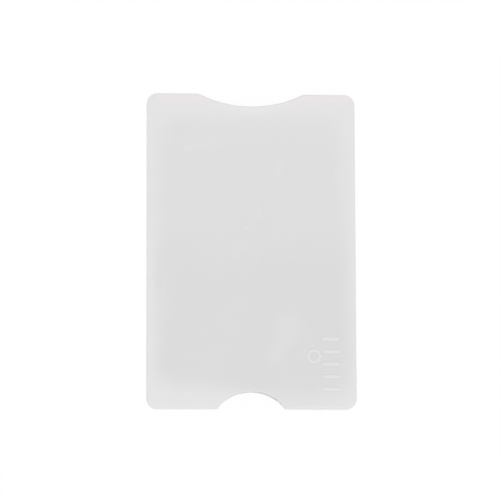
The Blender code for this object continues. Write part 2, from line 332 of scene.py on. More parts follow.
def mirrored(points, x_sign, y_sign):
    """The same outline points reflected, in the reverse order so that they still run one way."""
    signs = Vector((x_sign, y_sign))
    return [(point * signs, normal * signs) for point, normal in reversed(points)]


def push_notch(sizes):
    """Width, depth and blend of the notch at the foot."""
    return sizes.push_notch_width, sizes.push_notch_depth, sizes.push_notch_blend


def notch_centres(width, depth, blend):
    """Centres of a notch's arc and of the round at its mouth, and the radius of the arc."""
    radius = ((width / 2) ** 2 + depth ** 2) / (2 * depth)
    notch = Vector((0, HALF_LENGTH - depth + radius))
    drop = notch.y - (HALF_LENGTH - blend)
    mouth = Vector((math.sqrt((radius + blend) ** 2 - drop ** 2), HALF_LENGTH - blend))
    return notch, mouth, radius


def end_outline(corner_radius, width, depth, blend):
    """Right half of an end of the sleeve, from its side edge to the middle of its notch."""
    notch, mouth, radius = notch_centres(width, depth, blend)
    corner = Vector((HALF_WIDTH - corner_radius, HALF_LENGTH - corner_radius))
    points = arc(corner, corner_radius, 0, RIGHT_ANGLE, CORNER_STEPS)
    points += arc(mouth, blend, RIGHT_ANGLE, angle_to(mouth, notch), BLEND_STEPS)
    points += arc(notch, radius, angle_to(notch, mouth), -RIGHT_ANGLE, NOTCH_STEPS, hollow=True)[1:]
    return points


def sleeve_outline(sizes):
    """The whole plan of the sleeve, counter-clockwise from the middle of the push notch."""
    mouth = end_outline(sizes.corner_radius, sizes.thumb_notch_width, sizes.thumb_notch_depth,
                        sizes.thumb_notch_blend)
    right = mirrored(end_outline(sizes.corner_radius, *push_notch(sizes)), 1, -1) + mouth
    left = mirrored(right, -1, 1)
    notch_reach = notch_centres(*push_notch(sizes))[1].x + TOLERANCE
    off_centre = Vector((sizes.push_notch_shift, 0))
    return [(point + off_centre if point.y < 0 and abs(point.x) < notch_reach else point, normal)
            for point, normal in right + left[1:-1]]


def slot_outline(sizes, overrun):
    """Plan of the card slot, with the nubs on its sides, open past the mouth."""
    half = HALF_WIDTH - sizes.side_rim
    corner = Vector((half - sizes.slot_corner, sizes.foot_rim - HALF_LENGTH + sizes.slot_corner))
    nub_radius = ((sizes.nub_length / 2) ** 2 + sizes.nub_height ** 2) / (2 * sizes.nub_height)
    nub_centre = Vector((half - sizes.nub_height + nub_radius, HALF_LENGTH - sizes.nub_from_mouth))
    nub_angle = math.asin(sizes.nub_length / 2 / nub_radius)
    right = arc(corner, sizes.slot_corner, -RIGHT_ANGLE, 0, CORNER_STEPS)
    right += arc(nub_centre, nub_radius, math.pi + nub_angle, math.pi - nub_angle, NUB_STEPS, hollow=True)
    right.append((Vector((half, HALF_LENGTH + overrun)), Vector((1, 0))))
    return right + mirrored(right, -1, 1)


# Mesh


def lifted(point, height):
    """A point of a plan, at a height."""
    return point.to_3d() + Vector((0, 0, height))


def ring_at(outline, inset, height):
    """An outline drawn in along its normals, at a height."""
    return [lifted(point - normal * inset, height) for point, normal in outline]


def join_loops(mesh, lower, upper):
    """Add the faces between two closed loops of equally many vertices."""
    for index in range(len(lower)):
        mesh.faces.new((lower[index - 1], lower[index], upper[index], upper[index - 1]))


def add_loft(mesh, rings, closed=False):
    """Add a solid through rings of equally many points, capped at both ends or closed on itself."""
    loops = [[mesh.verts.new(point) for point in ring] for ring in rings]
    for lower, upper in zip(loops, loops[1:]):
        join_loops(mesh, lower, upper)
    if closed:
        join_loops(mesh, loops[-1], loops[0])
    else:
        mesh.faces.new(loops[0][::-1])
        mesh.faces.new(loops[-1])


def adjusted(item, **settings):
    """An item with some of its settings changed."""
    for name, value in settings.items():
        setattr(item, name, value)
    return item


def placed_in_scene(name, data, **settings):
    """A new object in the scene, with its settings."""
    item = adjusted(bpy.data.objects.new(name, data), **settings)
    bpy.context.scene.collection.objects.link(item)
    return item


def add_object(name, mesh, side=1):
    """Make an object of a mesh drawn about the middle plane, turned to the front or to the rear."""
    for vertex in mesh.verts:
        vertex.co.z = MIDDLE + vertex.co.z * side
    bmesh.ops.recalc_face_normals(mesh, faces=mesh.faces)
    data = bpy.data.meshes.new(name)
    mesh.to_mesh(data)
    mesh.free()
    return placed_in_scene(name, data)


def apply_tool(item, tool, operation):
    """Cut a tool out of an item, or fuse it on."""
    adjusted(item.modifiers.new(tool.name, "BOOLEAN"), operation=operation, solver="EXACT", object=tool)


def rescale(items, factor):
    """Scale the meshes of some items about the origin."""
    for item in items:
        item.data.transform(Matrix.Scale(factor, 4))
        item.data.update()


def made_plain(item, tools=()):
    """Turn an item with its modifiers into a plain mesh, and remove the tools that shaped it."""
    bpy.context.view_layer.update()
    depsgraph = bpy.context.evaluated_depsgraph_get()
    data = bpy.data.meshes.new_from_object(item.evaluated_get(depsgraph), depsgraph=depsgraph)
    item.modifiers.clear()
    for tool in tools:
        bpy.data.objects.remove(tool)
    if not len(data.polygons):
        raise RuntimeError(f"{item.name} came out empty")
    old = item.data
    item.data = data
    bpy.data.meshes.remove(old)
    data.name = item.name
    return item


def check_closed(item):
    """Stop if a solid was left open, or joined to itself along an edge, by the cuts made in it."""
    mesh = bmesh.new()
    mesh.from_mesh(item.data)
    faults = sum(not edge.is_manifold for edge in mesh.edges)
    mesh.free()
    if faults:
        raise RuntimeError(f"{item.name} has {faults} edges that don't close")


def shade(item, material, angle=SHARP_ANGLE):
    """Give an item one material and smooth shading that stops at its edges."""
    item.data.materials.clear()
    item.data.materials.append(material)
    for face in item.data.polygons:
        face.material_index = 0
    item.data.shade_smooth()
    item.data.set_sharp_from_angle(angle=angle)


# Nodes


def kept(collection, build):
    """What a function builds under its own name, built only when it isn't there yet."""
    return collection.get(build.__name__) or build(build.__name__)


def rgba(rgb):
    return (*rgb, 1.0)


SOCKETS = {"value": "NodeSocketFloat", "vector": "NodeSocketVector", "int": "NodeSocketInt",
           "geometry": "NodeSocketGeometry", "material": "NodeSocketMaterial"}


class Tree:
    """Adds nodes to a tree and feeds their sockets with values or with other sockets."""

    def __init__(self, tree):
        self.tree = tree

    def feed(self, socket, value):
        """Link a socket to another one, or set its value."""
        if isinstance(value, bpy.types.NodeSocket):
            self.tree.links.new(value, socket)
        else:
            socket.default_value = value

    def fill(self, node, **inputs):
        """Feed a node's inputs by their names, where _ stands for a space."""
        for name, value in inputs.items():
            self.feed(node.inputs[name.replace("_", " ")], value)
        return node

    def node(self, kind, inputs=(), **settings):
        """A new node with its settings, and its inputs by name or number."""
        made = adjusted(self.tree.nodes.new(kind), **settings)
        for key, value in dict(inputs).items():
            self.feed(made.inputs[key], value)
        return made

    def group(self, build, **inputs):
        """Outputs of a shared node group, placed here with inputs of its own."""
        placed = self.node("ShaderNodeGroup", node_tree=kept(bpy.data.node_groups, build))
        return self.fill(placed, **inputs).outputs

    def finished(self, **outputs):
        """This node group, ended with an output of each name."""
        for name, value in outputs.items():
            self.tree.interface.new_socket(name, in_out="OUTPUT", socket_type=SOCKETS[value.type.lower()])
        self.fill(self.node("NodeGroupOutput"), **outputs)
        return self.tree

    def maths(self, operation, *values, clamp=False):
        return self.node("ShaderNodeMath", enumerate(values), operation=operation, use_clamp=clamp).outputs[0]

    def plus(self, first, second, clamp=False):
        return self.maths("ADD", first, second, clamp=clamp)

    def minus(self, first, second):
        return self.maths("SUBTRACT", first, second)

    def over(self, first, second):
        return self.maths("DIVIDE", first, second)

    def times(self, product, *factors):
        for factor in factors:
            product = self.maths("MULTIPLY", product, factor)
        return product

    def vector(self, operation, *values, output="Vector"):
        return self.node("ShaderNodeVectorMath", enumerate(values), operation=operation).outputs[output]

    def scaled(self, vector, factor):
        return self.node("ShaderNodeVectorMath", {"Vector": vector, "Scale": factor},
                         operation="SCALE").outputs[0]

    def turned(self, vector, angle):
        return self.node("ShaderNodeVectorRotate", {"Vector": vector, "Angle": angle},
                         rotation_type="Z_AXIS").outputs[0]

    def parts(self, vector):
        return self.node("ShaderNodeSeparateXYZ", {0: vector}).outputs

    def ramp(self, value, start, end, low=0.0, high=1.0, kind="SMOOTHSTEP"):
        inputs = {"Value": value, "From Min": start, "From Max": end, "To Min": low, "To Max": high}
        return self.node("ShaderNodeMapRange", inputs, interpolation_type=kind, clamp=True).outputs[0]

    def noise(self, vector, scale, detail=2.0, roughness=0.5, output="Fac"):
        inputs = {"Vector": vector, "Scale": scale, "Detail": detail, "Roughness": roughness}
        return self.node("ShaderNodeTexNoise", inputs).outputs[output]

    def wobbled(self, vector, scale, detail, reach):
        """Places moved about by noise, by up to half the reach each way."""
        push = self.vector("SUBTRACT", self.noise(vector, scale, detail, output="Color"), (0.5, 0.5, 0.5))
        return self.vector("ADD", vector, self.scaled(push, reach))

    def mixed(self, share, first, second):
        return self.node("ShaderNodeMix", {0: share, 6: first, 7: second}, data_type="RGBA").outputs[2]

    def bump(self, height, distance, strength):
        inputs = {"Height": height, "Distance": distance, "Strength": strength}
        return self.node("ShaderNodeBump", inputs).outputs["Normal"]


def new_group(name, kind="ShaderNodeTree", **inputs):
    """An empty node group with the inputs named for each kind of socket: its tree and those inputs."""
    group = bpy.data.node_groups.new(name, kind)
    for socket_kind, socket_names in inputs.items():
        for socket_name in socket_names:
            group.interface.new_socket(socket_name, in_out="INPUT", socket_type=SOCKETS[socket_kind])
    tree = Tree(group)
    return tree, tree.node("NodeGroupInput").outputs


def foil_shade(name):
    """How strongly the painted shade of the foil behind the wall darkens the plastic, from 0 to 1, deeper
    towards the foot.
    """
    tree, given = new_group(name, vector=["Position"], value=FOIL_SHADE)
    place = tree.parts(given["Position"])
    across, along = place["X"], place["Y"]

    def by_height(mouth, foot):
        return tree.ramp(along, *SHADE_ALONG, given[foot], given[mouth], kind="LINEAR")

    def inside(distance, blur):
        half_blur = tree.times(blur, 0.5)
        return tree.ramp(distance, tree.times(half_blur, -1.0), half_blur)

    left = inside(tree.minus(across, by_height("Left at Mouth", "Left at Foot")),
                  by_height("Side Blur at Mouth", "Left Blur at Foot"))
    right = inside(tree.minus(by_height("Right at Mouth", "Right at Foot"), across),
                   by_height("Side Blur at Mouth", "Right Blur at Foot"))
    mouth = inside(tree.minus(given["Mouth End"], along), given["Mouth End Blur"])
    foot_end = tree.ramp(across, *FOOT_END_ACROSS, given["Foot End Left"], given["Foot End Right"])
    foot = inside(tree.minus(along, foot_end), tree.ramp(
        across, *FOOT_BLUR_ACROSS, given["Foot End Blur Left"], given["Foot End Blur Right"]))
    towards_corner = tree.minus(tree.maths("ABSOLUTE", across), along)
    corners = inside(tree.minus(given["Corner"], towards_corner), given["Corner Blur"])
    near_mouth = tree.ramp(along, *BELOW_MOUTH, given["Share at Mouth"], given["Share at Middle"])
    to_foot = tree.ramp(along, *TOWARDS_FOOT, 0.0, tree.minus(1.0, given["Share at Middle"]))
    return tree.finished(Shade=tree.times(left, right, mouth, foot, corners, tree.plus(near_mouth, to_foot)))


def soft_spot(name):
    """A soft oval spot: 1 at its place, 0 past its reach."""
    tree, given = new_group(name, vector=["Position", "Place", "Reach"], value=["Turn"])
    turned = tree.turned(tree.vector("SUBTRACT", given["Position"], given["Place"]), given["Turn"])
    flat = tree.vector("MULTIPLY", turned, (1.0, 1.0, 0.0))
    distance = tree.vector("LENGTH", tree.vector("DIVIDE", flat, given["Reach"]), output="Value")
    return tree.finished(Spot=tree.ramp(distance, 1.0, 0.15))


def raised_strokes(name):
    """The tops of raised strokes, which get a painted highlight, and the line at their foot, which gets
    painted shade.
    """
    tree, given = new_group(name, vector=["Position", "Normal"], value=["Face", "Height"])
    above = tree.over(tree.minus(tree.parts(given["Position"])["Z"], given["Face"]), given["Height"])
    lean = tree.parts(given["Normal"])["Z"]
    foot = tree.times(tree.ramp(above, 0.0, 0.04), tree.ramp(above, 0.75, 0.35), tree.ramp(lean, 0.999, 0.94))
    return tree.finished(Top=tree.ramp(above, 0.45, 0.95), Foot=foot)


def moulded_grain(name):
    """Fine matt grain of a moulded face, with broad clouds from the flow of the plastic."""
    tree, given = new_group(name, vector=["Position"], value=["Grain Size", "Cloud Size"])
    fine = tree.noise(given["Position"], tree.over(1.0, given["Grain Size"]), 3.0, 0.6)
    ripple = tree.noise(given["Position"], tree.over(0.35, given["Grain Size"]), 1.0)
    clouds = tree.noise(given["Position"], tree.over(1.0, given["Cloud Size"]), 2.0, 0.55)
    return tree.finished(Height=tree.plus(tree.times(fine, 0.75), tree.times(ripple, 0.25)),
                         Clouds=tree.ramp(clouds, 0.28, 0.72, kind="LINEAR"))


def hairlines(name):
    """Short hairline scratches from pockets and wallets, in two directions."""
    tree, given = new_group(name, vector=["Position"], value=["Turn", "Spacing"])
    thin = []
    for extra, stretch in ((0.0, 0.035), (1.1, 0.05)):
        turned = tree.turned(given["Position"], tree.plus(given["Turn"], extra))
        drawn_out = tree.vector("MULTIPLY", turned, (1.0, stretch, 1.0))
        streaks = tree.noise(drawn_out, tree.over(1.0, given["Spacing"]), 2.0, 0.65)
        patches = tree.noise(given["Position"], 0.07 + extra * 0.02, 1.0)
        thin.append(tree.times(tree.ramp(streaks, 0.66, 0.74), tree.ramp(patches, 0.48, 0.66)))
    return tree.finished(Lines=tree.maths("MAXIMUM", *thin))


def crumple(name):
    """Crumpled sheet metal: sharp small folds and the rolling lines of the foil."""
    tree, given = new_group(name, vector=["Position"], value=["Fold Size"])
    push = tree.scaled(tree.noise(given["Position"], 0.35, output="Color"), 2.4)
    folds = tree.node("ShaderNodeTexVoronoi", {
        "Vector": tree.vector("ADD", given["Position"], push), "Scale": tree.over(1.0, given["Fold Size"])},
        feature="DISTANCE_TO_EDGE").outputs["Distance"]
    small = tree.noise(given["Position"], 0.9, 4.0, 0.6)
    drawn_out = tree.vector("MULTIPLY", given["Position"], (5.0, 0.06, 1.0))
    return tree.finished(Height=tree.plus(tree.ramp(folds, 0.0, 0.16), tree.times(small, 0.8)),
                         Rolling=tree.noise(drawn_out, 1.0, 3.0, 0.6))


def edge_and_wall(name):
    """Where the surface is a rounded outer edge, which hands rub smooth and which gets a painted highlight,
    and where an upright wall.
    """
    tree, given = new_group(name, vector=["Position", "Normal"], value=["Middle", "Face", "Round"])
    lean = tree.maths("ABSOLUTE", tree.parts(given["Normal"])["Z"])
    away = tree.maths("ABSOLUTE", tree.minus(tree.parts(given["Position"])["Z"], given["Middle"]))
    near = tree.ramp(away, tree.minus(given["Face"], given["Round"]), given["Face"])
    edge = tree.times(tree.ramp(lean, 0.02, 0.35), tree.ramp(lean, 0.995, 0.80), near)
    return tree.finished(Edge=edge, Wall=tree.ramp(lean, 0.45, 0.10))


# Materials


def new_material(name):
    """An empty material with one Principled shader: the tree, the shader and millimetre coordinates."""
    material = bpy.data.materials.new(name)
    material.use_nodes = True
    tree = Tree(material.node_tree)
    coordinates = tree.node("ShaderNodeTexCoord").outputs["Object"]
    return material, tree, material.node_tree.nodes["Principled BSDF"], tree.scaled(coordinates, 1 / MM)


def faded(tree, place, fades):
    """The product of fades along the axes of the part."""
    return tree.times(*[tree.ramp(place[axis], *fade) for axis, *fade in fades])


def liner_shade(tree, position, clouds):
    """Share of the full painted shade that stands in for the foil behind the plastic, with its uneven spots.
    """
    total = tree.group(foil_shade, Position=tree.wobbled(position, 0.11, 3.0, 2.4), **FOIL_SHADE)["Shade"]
    uneven = tree.wobbled(position, 0.5, 2.0, 1.6)

    def spot(place, reach, share, turn=0.0):
        spot_inputs = {"Place": (*place, 0.0), "Reach": (*reach, 1.0), "Turn": turn}
        return tree.times(tree.group(soft_spot, Position=uneven, **spot_inputs)["Spot"], share)

    for place, reach, turn, lost in PALE_SPOTS:
        total = tree.times(total, tree.minus(1.0, spot(place, reach, lost, turn)))
    for place, reach, added in DEEP_SPOTS:
        total = tree.plus(total, spot(place, reach, added))
    cloudy = tree.ramp(clouds, 0.0, 1.0, -CLOUD_SHADE, CLOUD_SHADE, kind="LINEAR")
    return tree.plus(total, cloudy, clamp=True)


def milky_plastic(name):
    """Milky white moulded plastic worn by hands, with painted shade where the glued foil lies behind it, and
    painted highlights, shade and wall glow.
    """
    finish = bpy.context.scene.card_sleeve_finish
    edge_round = bpy.context.scene.card_sleeve.edge_round
    material, tree, shader, position = new_material(name)
    place = tree.parts(position)
    normal = tree.node("ShaderNodeNewGeometry").outputs["Normal"]
    grain = tree.group(moulded_grain, Position=position, Grain_Size=0.22, Cloud_Size=9.0)
    sides = tree.group(edge_and_wall, Position=position, Normal=normal, Middle=MIDDLE / MM,
                       Face=FACE / MM, Round=edge_round / MM)
    strokes = tree.group(raised_strokes, Position=position, Normal=normal, Face=(MIDDLE + FACE) / MM,
                         Height=MARK_HEIGHT / MM)
    lines = tree.group(hairlines, Position=position, Turn=0.45, Spacing=0.35)["Lines"]

    on_face = tree.ramp(place["Z"], (MIDDLE + FACE - edge_round) / MM, (MIDDLE + FACE) / MM)
    lighter_by_notch = tree.group(soft_spot, Position=position, Place=LIGHTER_BY_NOTCH_PLACE, Reach=LIGHTER_BY_NOTCH_REACH)["Spot"]
    # Painted shade: the colour darkens towards the painted foil shade where the foil lies behind the plastic
    body = tree.mixed(liner_shade(tree, position, grain["Clouds"]), rgba(finish.plastic),
                      rgba(finish.plastic_over_foil))
    for share, colour_there in (
            (tree.times(faded(tree, place, MOUTH_TINT), on_face), finish.plastic_at_mouth),
            # Lighter spot along the edge of the thumb notch
            (tree.times(lighter_by_notch, LIGHTER_BY_NOTCH_SHARE), finish.plastic_rubbed),
            # Painted shade along the foot of the raised strokes
            (strokes["Foot"], finish.grime),
            # Painted highlight on the tops of the raised strokes
            (tree.times(strokes["Top"], STROKE_TOP_HIGHLIGHT_SHARE), finish.plastic_rubbed),
            # Rounded edges: rubbed smooth, with a painted highlight
            (tree.times(sides["Edge"], RUBBED_EDGE_HIGHLIGHT_SHARE), finish.plastic_rubbed),
            # Painted glow: upright walls take the lighter wall colour for light coming through them
            (sides["Wall"], finish.plastic_wall),
            # Painted shade on the right flank of the push notch, where the wall lies in shade
            (tree.times(faded(tree, place, NOTCH_PAINTED_SHADE), sides["Wall"]), finish.grime),
            (tree.times(lines, HAIRLINE_SHARE), finish.hairline)):
        body = tree.mixed(share, body, rgba(colour_there))

    rough = tree.ramp(grain["Clouds"], 0.0, 1.0, 0.40, 0.47, kind="LINEAR")
    rough = tree.plus(rough, tree.times(lines, HAIRLINE_ROUGHNESS))
    rough = tree.minus(rough, tree.times(sides["Edge"], RUBBED_EDGE_SMOOTHNESS))
    height = tree.minus(grain["Height"], tree.times(lines, HAIRLINE_DEPTH_SHARE))
    tree.fill(shader, Base_Color=body, Roughness=rough, Normal=tree.bump(height, 0.000012, 0.35), IOR=1.46,
              Subsurface_Weight=0.25, Subsurface_Radius=(1.0, 0.95, 0.9), Subsurface_Scale=0.0010)
    return material


def aluminium_foil(name):
    """Thin aluminium laminate, crumpled a little, bright in places and dull in others."""
    finish = bpy.context.scene.card_sleeve_finish
    material, tree, shader, position = new_material(name)
    crumpled = tree.group(crumple, Position=position, Fold_Size=5.5)
    patches = tree.ramp(tree.noise(position, 0.16, 3.0), 0.35, 0.68)
    dull = tree.plus(tree.times(patches, 0.7), tree.times(crumpled["Rolling"], 0.35), clamp=True)
    height = tree.plus(crumpled["Height"], tree.times(crumpled["Rolling"], 0.25))
    tree.fill(shader, Base_Color=tree.mixed(dull, rgba(finish.foil_bright), rgba(finish.foil_dull)),
              Roughness=tree.ramp(dull, 0.0, 1.0, 0.26, 0.46, kind="LINEAR"),
              Normal=tree.bump(height, 0.00004, 0.5), Metallic=1.0)
    return material


def transfer_glue(name):
    """Clear adhesive film, yellowish where it is thick, with small blisters of air."""
    finish = bpy.context.scene.card_sleeve_finish
    material, tree, shader, position = new_material(name)
    thick = tree.ramp(tree.noise(position, 0.22, 3.0, 0.6), 0.35, 0.66)
    cells = tree.node("ShaderNodeTexVoronoi", {"Vector": position, "Scale": 0.8, "Randomness": 1.0})
    blisters = tree.ramp(cells.outputs["Distance"], 0.30, 0.18)
    body = tree.mixed(thick, rgba(finish.glue_pale), rgba(finish.glue_deep))
    tree.fill(shader, Base_Color=tree.mixed(tree.times(blisters, 0.4), body, rgba(finish.blister)),
              Roughness=tree.ramp(thick, 0.0, 1.0, 0.32, 0.5, kind="LINEAR"),
              Normal=tree.bump(blisters, 0.00002, 0.6), IOR=1.47)
    return material


# Geometry Nodes


def ended_in(tree, material, geometry):
    """A Geometry Nodes tree, ended with real geometry in a material."""
    real = tree.node("GeometryNodeRealizeInstances", {0: geometry}).outputs[0]
    done = tree.node("GeometryNodeSetMaterial", {"Geometry": real, "Material": material}).outputs[0]
    return tree.finished(Geometry=done)


def grip_ladder(name):
    """A Geometry Nodes tree that repeats the bar it is given into a ladder."""
    tree, given = new_group(name, "GeometryNodeTree", geometry=["Bar"], int=["Bars"],
                            vector=["First Bar", "Step"], material=["Plastic"])
    line = tree.node("GeometryNodeMeshLine", {"Count": given["Bars"], "Start Location": given["First Bar"],
                                              "Offset": given["Step"]}, mode="OFFSET").outputs[0]
    bars = tree.node("GeometryNodeInstanceOnPoints", {"Points": line, "Instance": given["Bar"]}).outputs[0]
    return ended_in(tree, given["Plastic"], bars)


def weld_bead(name):
    """A Geometry Nodes tree that sweeps a bead with rounded edges along the path it is given."""
    tree, given = new_group(name, "GeometryNodeTree", geometry=["Path"],
                            value=["Width", "Height", "Edge"], material=["Plastic"])
    path = tree.node("GeometryNodeMeshToCurve", {"Mesh": given["Path"]}).outputs[0]
    path = tree.node("GeometryNodeSetCurveNormal", {"Curve": path}, mode="Z_UP").outputs[0]
    section = tree.node("GeometryNodeCurvePrimitiveQuadrilateral", {
        "Width": given["Width"], "Height": given["Height"]}, mode="RECTANGLE").outputs[0]
    section = tree.node("GeometryNodeFilletCurve", {
        "Curve": section, "Radius": given["Edge"], "Count": BEAD_EDGE_STEPS}, mode="POLY").outputs[0]
    bead = tree.node("GeometryNodeCurveToMesh", {
        "Curve": path, "Profile Curve": section, "Fill Caps": True}).outputs[0]
    return ended_in(tree, given["Plastic"], bead)


def grown(item, build, **inputs):
    """Run a Geometry Nodes tree on an item with its named inputs, and keep the result as its mesh."""
    modifier = item.modifiers.new(build.__name__, "NODES")
    modifier.node_group = kept(bpy.data.node_groups, build)
    sockets = modifier.node_group.interface.items_tree
    for name, value in inputs.items():
        modifier[sockets[name.replace("_", " ")].identifier] = value
    return made_plain(item)


# Pieces


def slot_edge(outline, room):
    """The stretch of an outline where a measure of room is above zero, from left to right."""
    stretch = []
    for before, after in zip(outline, outline[1:] + outline[:1]):
        room_before, room_after = room(before[0]), room(after[0])
        if room_before > 0:
            stretch.append(before)
        if room_before * room_after < 0:
            share = room_before / (room_before - room_after)
            stretch.append((before[0].lerp(after[0], share), before[1].lerp(after[1], share).normalized()))
    return sorted(stretch, key=lambda pair: pair[0].x)


def lead_in_band(mesh, points, wall_inner, chamfer):
    """Add a cutter along part of the outline that takes the sharp lip off the slot's ceiling.

    It turns at the middles of the outline's facets, because corners that meet edges cut badly.
    """
    reach = chamfer * BAND_REACH_SHARE
    middles = [((before + after) / 2, (before_normal + after_normal).normalized())
               for (before, before_normal), (after, after_normal) in zip(points, points[1:])]
    add_loft(mesh, [[lifted(point - normal * (chamfer + reach), wall_inner - reach),
                     lifted(point + normal * reach, wall_inner - reach),
                     lifted(point + normal * reach, wall_inner + chamfer + reach)]
                    for point, normal in [points[0], *middles, points[-1]]])


def quarter_round(steps):
    """Along a quarter round, as shares of its radius: how far it has still to go, and has gone."""
    for step in range(steps + 1):
        angle = RIGHT_ANGLE * step / steps
        yield 1 - math.sin(angle), 1 - math.cos(angle)


def shell_rings(sizes, outline):
    """Rings of a moulded half, from the fine lip at its seam to the rounded edge of its face."""
    edge, lip, seam = sizes.edge_round, sizes.seam_lip, sizes.seam_gap / 2
    margin = CLEARANCE_SHARE * edge
    rings = [ring_at(outline, lip * inset, seam + lip * rise) for inset, rise in quarter_round(LIP_STEPS)]
    rings.append(ring_at(outline, 0, seam + lip + margin))
    rings.append(ring_at(outline, 0, FACE - edge - margin))
    rings += [ring_at(outline, edge * inset, FACE - edge * drop) for drop, inset in quarter_round(EDGE_STEPS)]
    rings.append(ring_at(outline, edge + margin, FACE))
    return rings


def half_shell(name, side, raised=()):
    """One moulded half: rounded outside, fine lip at the seam, and the pocket for liner and card."""
    sizes = bpy.context.scene.card_sleeve
    outline = sleeve_outline(sizes)
    body = bmesh.new()
    add_loft(body, shell_rings(sizes, outline))
    shell = add_object(name, body, side)

    wall_inner = FACE - sizes.face_wall
    overrun = sizes.face_wall
    slot = bmesh.new()
    plan = slot_outline(sizes, overrun)
    add_loft(slot, [ring_at(plan, 0, -overrun), ring_at(plan, 0, wall_inner)])
    tools = [add_object(name + "_slot", slot, side)]

    clear = CLEARANCE_SHARE * sizes.lead_in
    half = HALF_WIDTH - sizes.side_rim - clear
    slot_foot = sizes.foot_rim - HALF_LENGTH + clear
    mouth = slot_edge(outline, lambda point: min(half - abs(point.x), point.y))
    notch = slot_edge(outline, lambda point: min(half - abs(point.x), -point.y, point.y - slot_foot))
    for points in (mouth, notch):
        band = bmesh.new()
        lead_in_band(band, points, wall_inner, sizes.lead_in)
        tools.append(add_object(name + "_lead_in", band, side))
    for tool in tools:
        apply_tool(shell, tool, "DIFFERENCE")
    for item in raised:
        apply_tool(shell, item, "UNION")
        tools.append(item)
    rescale([shell, *tools], 1 / MM)
    made_plain(shell, tools)
    rescale([shell], MM)
    check_closed(shell)
    shade(shell, kept(bpy.data.materials, milky_plastic))
    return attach(shell, "root")


def relief_profile(mark):
    """Offsets and heights of a raised stroke's side, from its sunk root to its soft shoulder."""
    start = STROKE_START_SHARE * MARK_HEIGHT
    points = [(mark.flare, FACE - mark.sunk)]
    for step in range(RELIEF_STEPS + 1):
        share = step / RELIEF_STEPS
        rise = share * share * (3 - 2 * share)
        points.append((mark.flare - (mark.flare + mark.shoulder) * share,
                       FACE + start + (MARK_HEIGHT - start) * rise))
    return points


def bar_solid(mark):
    """One bar at the middle of the part, with half-round ends and a soft side."""
    reach = Vector((mark.bar_length / 2 - mark.bar_width / 2, 0))
    plan = (arc(reach, mark.bar_width / 2, -RIGHT_ANGLE, RIGHT_ANGLE, CAP_STEPS)
            + arc(-reach, mark.bar_width / 2, RIGHT_ANGLE, 3 * RIGHT_ANGLE, CAP_STEPS))
    mesh = bmesh.new()
    add_loft(mesh, [ring_at(plan, -offset, height) for offset, height in relief_profile(mark)])
    return add_object("grip_bars", mesh)


def ring_solid(mark, centre):
    """The ring beside the bars, with the same soft sides."""
    outer = mark.ring_diameter / 2
    inner = outer - mark.ring_stroke
    side = relief_profile(mark)
    profile = [(outer + offset, height) for offset, height in side]
    profile += [(inner - offset, height) for offset, height in reversed(side)]
    mesh = bmesh.new()
    add_loft(mesh, [[lifted(centre + direction * radius, height) for radius, height in profile]
                    for _, direction in arc(centre, outer, 0, 2 * math.pi, RING_STEPS)[:-1]], closed=True)
    return add_object("grip_ring", mesh)


def grip_strokes():
    """The raised strokes of the grip mark as solids: the ladder of bars and the ring."""
    mark = bpy.context.scene.card_sleeve_mark
    middle = Vector((HALF_WIDTH - mark.from_side, mark.from_foot - HALF_LENGTH, 0))
    bars = grown(bar_solid(mark), grip_ladder, Bars=mark.bar_count,
                 First_Bar=middle - Vector((0, mark.bar_pitch * (mark.bar_count - 1) / 2, 0)),
                 Step=Vector((0, mark.bar_pitch, 0)), Plastic=kept(bpy.data.materials, milky_plastic))
    return [bars, ring_solid(mark, middle.to_2d() + Vector((-mark.ring_beside, mark.ring_above)))]


def rim_path(sizes, inset):
    """Line round the right rim at an inset from its edge, from beside the mouth to the push notch."""
    bend = sizes.corner_radius - inset
    across, along = HALF_WIDTH - sizes.corner_radius, HALF_LENGTH - sizes.corner_radius
    slot_side = HALF_WIDTH - sizes.side_rim + sizes.weld_depth
    turn = math.acos((slot_side - across) / (bend - sizes.weld_width / 2))
    notch, _, radius = notch_centres(*push_notch(sizes))
    notch_wall = math.sqrt(radius ** 2 - (notch.y - HALF_LENGTH + inset) ** 2)
    line = [point for point, _ in arc(Vector((across, along)), bend, turn, 0, CORNER_STEPS)]
    line += [point for point, _ in arc(Vector((across, -along)), bend, 0, -RIGHT_ANGLE, CORNER_STEPS)]
    line.append(Vector((notch_wall + sizes.weld_depth, inset - HALF_LENGTH)))
    return line


def weld_seam():
    """The welded tongue that closes the seam between the two rims, just inside their edge."""
    sizes = bpy.context.scene.card_sleeve
    plastic = kept(bpy.data.materials, milky_plastic)
    line = rim_path(sizes, sizes.weld_depth + sizes.weld_width / 2)
    mesh = bmesh.new()
    for x_sign in (1, -1):
        points = [mesh.verts.new((point.x * x_sign, point.y, 0)) for point in line]
        for before, after in zip(points, points[1:]):
            mesh.edges.new((before, after))
    seam = grown(add_object("weld_seam", mesh), weld_bead, Width=sizes.weld_width, Height=sizes.weld_height,
                 Edge=sizes.weld_height * BEAD_EDGE_SHARE, Plastic=plastic)
    swept = bmesh.new()
    swept.from_mesh(seam.data)
    bmesh.ops.recalc_face_normals(swept, faces=swept.faces)
    swept.to_mesh(seam.data)
    swept.free()
    shade(seam, plastic, BEAD_SHARP_ANGLE)
    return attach(seam, "root")


def fold_rise(x, y):
    """Height of the foil's folds at a place, from 0 upwards, in metres."""
    place = Vector((x / MM, y / MM))
    rise = 0.0
    for start, end, width, height in FOIL_FOLDS:
        first, along = Vector(start), Vector(end) - Vector(start)
        share = (place - first).dot(along) / along.length_squared
        nearest = first + along * min(max(share, 0), 1)
        distance = (place - nearest).length / width
        rise += height * math.exp(-distance * distance)
    return min(rise, HIGHEST_FOLD) * MM


